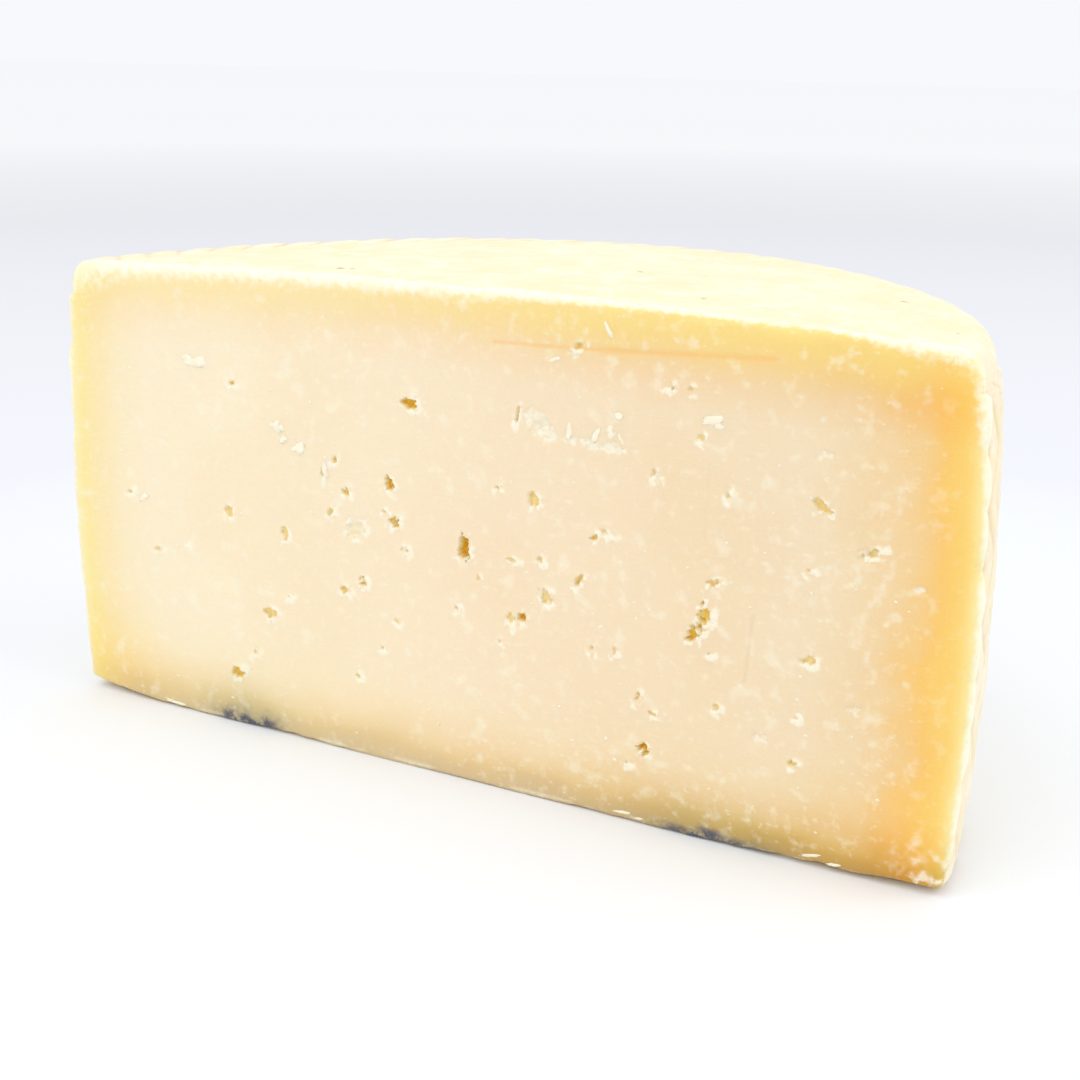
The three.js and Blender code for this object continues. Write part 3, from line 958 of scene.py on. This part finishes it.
def paste_colour(shader):
    """Cream paste that turns golden towards the rind, most at the right and at the foot, where it
    is also darkened as painted shade near the floor.
    """
    left, right = shader.value("from_left"), shader.value("from_right")
    top, foot = shader.value("from_top"), shader.value("from_base")
    wander = shader.scale(shader.noise(14), 0.25, 0.75, -2.5, 2.5)
    small_wander = shader.times(wander, 0.4)
    right_wander = shader.times(wander, shader.scale(right, 2, 12, 0.2, 1))
    stops = [(at, colour(*seen)) for at, seen in PASTE_FROM_RIGHT]
    base = shader.ramp(shader.plus(right, right_wander), stops)
    base = shader.glaze(base, 1, shader.ramp(left, tints(TINT_FROM_LEFT, CREAM)))

    top = shader.plus(top, small_wander)
    top_share = shader.scale(right, 150, 20, 0.4, 1)
    base = shader.glaze(base, top_share, shader.ramp(top, tints(TINT_FROM_TOP, TOP_CREAM)))
    base = shader.paint(base, shader.times(shader.scale(top, 11, 3, 0, 0.6), top_share), TOP_GLOW)

    # Golden tint and painted shade towards the base.
    foot_tint_and_painted_shade = shader.ramp(shader.plus(foot, small_wander), tints(TINT_AND_PAINTED_SHADE_FROM_BASE, TOP_CREAM))
    foot_share = shader.scale(right, 90, 20, 0.6, 1)
    foot_share = shader.times(foot_share, shader.scale(left, 0, 18, 0.3, 1))
    base = shader.glaze(base, foot_share, foot_tint_and_painted_shade)
    # Yellower and darker at the left of the foot: partly golden paste, partly painted shade.
    left_foot_tint_and_painted_shade = shader.times(shader.scale(left, 32, 3), shader.scale(foot, 32, 6))
    base = shader.glaze(base, left_foot_tint_and_painted_shade, LEFT_FOOT_TINT_AND_PAINTED_SHADE)

    base = shader.glaze(base, shader.scale(shader.noise(30, 1), 0.45, 0.7, 0, 0.8), BLUSH_SHADE)
    return shader.glaze(base, shader.scale(shader.noise(0.7, 3, 0.6), 0.2, 0.8), GRAIN_SHADE)


def paste_material():
    """The cut: cream paste with pale specks, golden eyes, torn rims, and mould on its foot."""
    shader = Shader("manchego_paste")
    base = paste_colour(shader)
    left, right, foot = (shader.value("from_" + side) for side in ("left", "right", "base"))

    # White specks and softer pale spots, closer together towards the lower right.
    lower_right = shader.plus(right, shader.times(foot, 0.8))
    density = shader.scale(shader.noise(22, 2), 0.3, 0.7, -0.035, 0.025)
    density = shader.plus(density, shader.scale(lower_right, 20, 150, 0.015, -0.005))
    off_gold = shader.scale(right, 4, 16, 0.4, 1)
    fine_specks = shader.noise(1.4, 3, 0.6, shader.stretched(1.5, 1, 1))
    specks = shader.scale(shader.plus(fine_specks, density), 0.57, 0.8, 0, 0.5)
    specks = shader.times(specks, off_gold)
    base = shader.paint(base, specks, TORN_PASTE)
    spots = shader.scale(shader.plus(shader.noise(3, 2), density), 0.54, 0.76, 0, 0.4)
    base = shader.paint(base, shader.times(spots, off_gold), TORN_PASTE)

    # The dry rim beside the rind, yellower at the left.
    wander = shader.scale(shader.noise(1.6, 4, 0.6), 0.3, 0.7, -0.5, 0.5)
    rim = shader.scale(shader.plus(shader.value("in_from_rind"), wander), 2.3, 0.2)
    rim = shader.times(rim, shader.scale(foot, 0, 16, 0.4, 0.95))
    rim_colour = shader.paint(colour(*LEMON_RIM), shader.scale(left, 4, 12), PALE_RIM)
    base = shader.mix(rim, base, rim_colour)

    base = shader.paint(base, shader.times(shader.value("crease"), 0.5), CREASE_GOLD)
    broken = shader.scale(shader.noise(0.6, 3, 0.6), 0.3, 0.6, 0.55, 1)
    torn = shader.times(shader.scale(shader.value("torn"), 0.1, 0.7, 0, 0.95), broken)
    base = shader.paint(base, torn, TORN_PASTE)
    hollow = shader.value("hollow")
    eye = shader.ramp(hollow, [(at, colour(*seen)) for at, seen in EYE_BY_DEPTH])
    base = shader.mix(shader.scale(hollow, 0.02, 0.3), base, eye)

    base = shader.glaze(base, shader.times(shader.value("halo"), 0.75), HALO_SHADE)
    grains = shader.scale(shader.noise(1.6, 3, 0.6), 0.35, 0.6, 0.35, 1.25)
    mould = shader.maths("MULTIPLY", shader.value("mould"), grains, clamp=True)
    base = shader.paint(base, mould, PASTE_MOULD)

    grain = shader.noise(0.5, 3, 0.65)
    streaks = shader.noise(0.6, 3, 0.6, shader.stretched(9, 1, 1))
    shader.bump([(grain, 0.05), (streaks, 0.04), (specks, 0.05)])
    return shader.finish(
        base,
        shader.scale(shader.noise(3, 3), 0.3, 0.7, 0.42, 0.6),
        Subsurface_Weight=0.25,
        Subsurface_Radius=SCATTER,
        Subsurface_Scale=0.003,
        Specular_IOR_Level=0.4,
    )


def rind_material():
    """Dry pale rind: darker grooves in the print, bloom, painted warm shade at its foot, and the
    top's cloth lines and specks.
    """
    shader = Shader("manchego_rind")
    on_top, groove = shader.value("on_top"), shader.value("groove")
    mottle = shader.scale(shader.noise(16, 4, 0.55), 0.3, 0.7)
    base = shader.paint(colour(*RIND_CREAM), mottle, RIND_YELLOW)
    patches = shader.scale(shader.noise(2.2, 4, 0.6), 0.45, 0.7, 0, 0.5)
    base = shader.paint(base, patches, RIND_PATCH)
    side_groove = shader.scale(groove, 0.1, 0.8, 0, 0.75)
    top_groove = shader.times(shader.scale(groove, 0.06, 0.36, 0, 0.9), on_top)
    base = shader.paint(base, shader.maths("MAXIMUM", side_groove, top_groove), RIND_GROOVE)
    # Warm brown painted on the rind's lowest millimetres: painted contact shade at the floor, where
    # the rind itself is pale.
    foot = shader.scale(shader.value("from_base"), 3, 0.5, 0, 0.8)
    base = shader.paint(base, foot, RIND_FOOT_PAINTED_SHADE)
    bloom = shader.scale(shader.noise(6, 4, 0.65), 0.5, 0.66, 0, 0.7)
    base = shader.paint(base, bloom, RIND_BLOOM)

    # The press cloth left fine lines along the top, nearly along the cut.
    inputs = {"Vector": shader.place, "Rotation": (0, 0, math.radians(4))}
    tilted = shader.add("ShaderNodeMapping", inputs).outputs[0]
    inputs = {"Vector": tilted, "Scale": 0.24, "Distortion": 3.5, "Detail": 2, "Detail Scale": 0.6}
    cloth = shader.add("ShaderNodeTexWave", inputs, bands_direction="Y").outputs["Fac"]
    cloth_mark = shader.times(shader.scale(cloth, 0.75, 1), on_top)
    base = shader.paint(base, shader.times(cloth_mark, 0.3), CLOTH_LINE)

    # Brown specks on the top, with ragged rims.
    warp = shader.add("ShaderNodeTexNoise", {"Vector": shader.place, "Scale": 1.2}).outputs["Color"]
    warped = shader.vector("ADD", warp, shader.place)
    for x, y, radius in RIND_SPECKS:
        middle = np.array((x, y + LOW.y / MM, top_height(math.hypot(x, y)))) + WARP_MIDDLE
        away = shader.vector("DISTANCE", warped, middle, "Value")
        speck = shader.scale(away, 1.4 * radius, 0.3 * radius, 0, 0.8)
        base = shader.paint(base, speck, RIND_SPECK)

    base = shader.paint(base, shader.value("mould"), RIND_MOULD)
    lump = shader.noise(1.1, 4, 0.6)
    shader.bump([(lump, 0.16), (shader.times(cloth, on_top), 0.06), (shader.noise(0.35, 2), 0.04)])
    return shader.finish(
        base,
        shader.scale(shader.noise(4, 3), 0.3, 0.7, 0.55, 0.75),
        Subsurface_Weight=0.12,
        Subsurface_Radius=SCATTER,
        Subsurface_Scale=0.002,
        Specular_IOR_Level=0.35,
    )


def crumb_material():
    """Dry crumbs, whiter than the paste."""
    shader = Shader("manchego_crumb")
    yellowed = shader.scale(shader.noise(1.4, 3), 0.3, 0.7)
    base = shader.paint(colour(*CRUMB_WHITE), yellowed, CRUMB_CREAM)
    shader.bump([(shader.noise(0.3, 3, 0.6), 0.04)])
    return shader.finish(base, shader.scale(shader.noise(0.8, 2), 0.3, 0.7, 0.55, 0.75))


# The floor's colour by distance, with painted light and shade: painted a little cool near the
# cheese, against the cheese's own warm light, painted darker behind it as shade, and then bright,
# so that it ends in the studio's white.
FLOOR_PAINTED_SHADES = (
    (0, (0.86, 0.9, 0.95, 1)),
    (100, (0.855, 0.88, 0.91, 1)),
    (260, (0.77, 0.785, 0.82, 1)),
    (700, (0.775, 0.785, 0.81, 1)),
    (1000, (0.775, 0.78, 0.8, 1)),
    (2000, (0.96, 0.96, 0.96, 1)),
    (3500, (0.985, 0.985, 0.985, 1)),
)


def floor_material():
    """White paper, with painted shade that changes with distance from the cheese."""
    shader = Shader("white_floor")
    base = shader.ramp(shader.vector("DISTANCE", shader.place, (0, 0, 0), "Value"), FLOOR_PAINTED_SHADES)
    return shader.finish(base, 0.9, Specular_IOR_Level=0)


# The stage.


def make_floor():
    """A wide pale floor."""
    reach = FLOOR_REACH * MM
    mesh = bpy.data.meshes.new("floor")
    corners = [(-reach, -reach, 0), (reach, -reach, 0), (reach, reach, 0), (-reach, reach, 0)]
    mesh.from_pydata(corners, [], [(0, 1, 2, 3)])
    mesh.materials.append(floor_material())
    new_object("floor", mesh)


def make_world():
    world = bpy.data.worlds.new("studio")
    world.use_nodes = True
    background = world.node_tree.nodes["Background"]
    background.inputs["Color"].default_value = STUDIO_SHADE
    bpy.context.scene.world = world


def make_light(name, place, size, power, shade):
    """A soft square light that looks at the cheese, and doesn't show itself."""
    data = bpy.data.lights.new(name, "AREA")
    data.shape = "SQUARE"
    data.size = size
    data.energy = power
    data.color = shade
    light = new_object(name, data)
    light.location = place
    aim = Vector((0, 0, HIGH.z / 2)) - Vector(place)
    light.rotation_euler = aim.to_track_quat("-Z", "Y").to_euler()
    light.visible_camera = False


def make_camera():
    """The camera, where the photograph was taken from."""
    data = bpy.data.cameras.new("camera")
    data.lens = LENS
    data.sensor_width = SENSOR_WIDTH
    camera = new_object("camera", data)
    x, y, z = CAMERA_PLACE
    place = Matrix.Translation((x * MM, y * MM + LOW.y, z * MM))
    yaw = Matrix.Rotation(math.radians(CAMERA_YAW), 4, "Z")
    pitch = Matrix.Rotation(math.radians(90 - CAMERA_PITCH), 4, "X")
    roll = Matrix.Rotation(math.radians(CAMERA_ROLL), 4, "Z")
    camera.matrix_world = place @ yaw @ pitch @ roll
    bpy.context.scene.camera = camera


# The stage, with the lights' places and sizes in metres, and then the cheese.
make_camera()
make_world()
make_floor()
make_light("key", (-0.35, -0.75, 1.25), 1.2, 5.5, (1, 0.99, 0.97))
make_light("right", (0.9, 0.2, 0.9), 0.9, 3, (1, 1, 1))
bpy.context.scene.view_settings.view_transform = "Standard"

skin = cheese_skin()
add_place_values(skin)
materials = [paste_material(), rind_material()]
cheese = mesh_object(
    "cheese_half_wheel", skin.points, skin.faces, skin.values, materials, skin.materials
)
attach(cheese, "root")
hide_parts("cheese")

crumbs = flakes_mesh(crumb_material())
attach(crumbs, "root")
